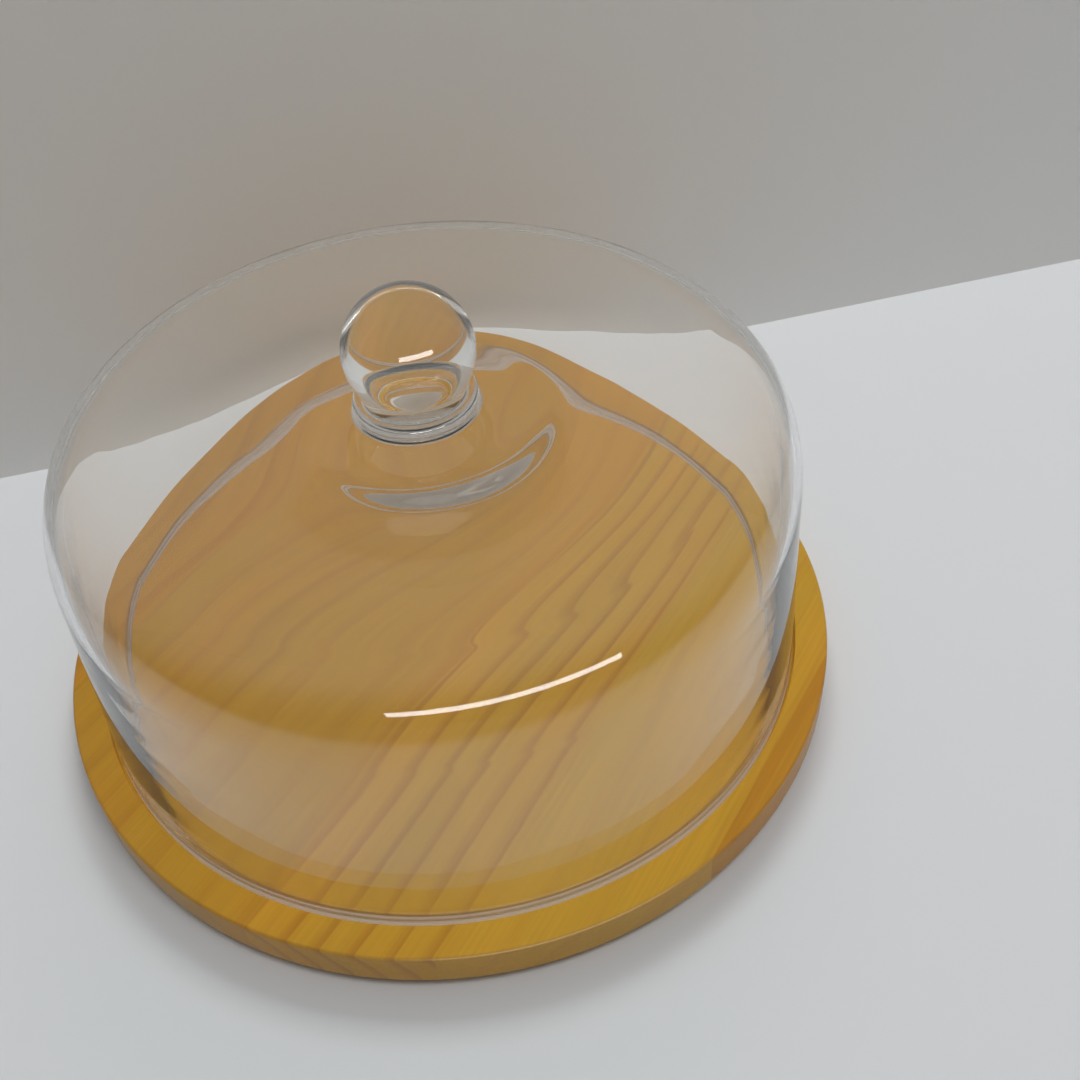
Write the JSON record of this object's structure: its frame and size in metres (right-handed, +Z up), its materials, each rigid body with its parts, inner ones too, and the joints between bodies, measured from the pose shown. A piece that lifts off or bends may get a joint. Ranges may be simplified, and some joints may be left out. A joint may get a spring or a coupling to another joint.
{
  "type": "cake stand dome",
  "caption": "Round edge-glued pine board with a ring groove that seats a lift-off clear glass bell with a ball knob, for keeping and serving a cake.",
  "frame": {"origin": "on the table under the middle of the board's flat underside", "axes": "+Z up, along the axis of the board, the bell and its knob; +Y away from the usual viewer"},
  "size_m": [0.28, 0.28, 0.1621],
  "materials": {
    "clear_glass": "polished clear",
    "pine_honey": "satin clear lacquer",
    "pine_amber": "satin clear lacquer",
    "pine_pale": "satin clear lacquer"
  },
  "bodies": {
    "board": {"board_stave_1": "pine_honey", "board_stave_2": "pine_honey", "board_stave_3": "pine_amber", "board_stave_4": "pine_honey", "board_stave_5": "pine_pale", "board_stave_6": "pine_amber"},
    "dome": {"glass_dome": "clear_glass", "glass_knob": "clear_glass"}
  },
  "joints": [
    {"name": "dome_lift", "type": "slide", "parent": "board", "child": "dome", "axis": [0, 0, 1], "range_m": [0, 0.2]}
  ]
}
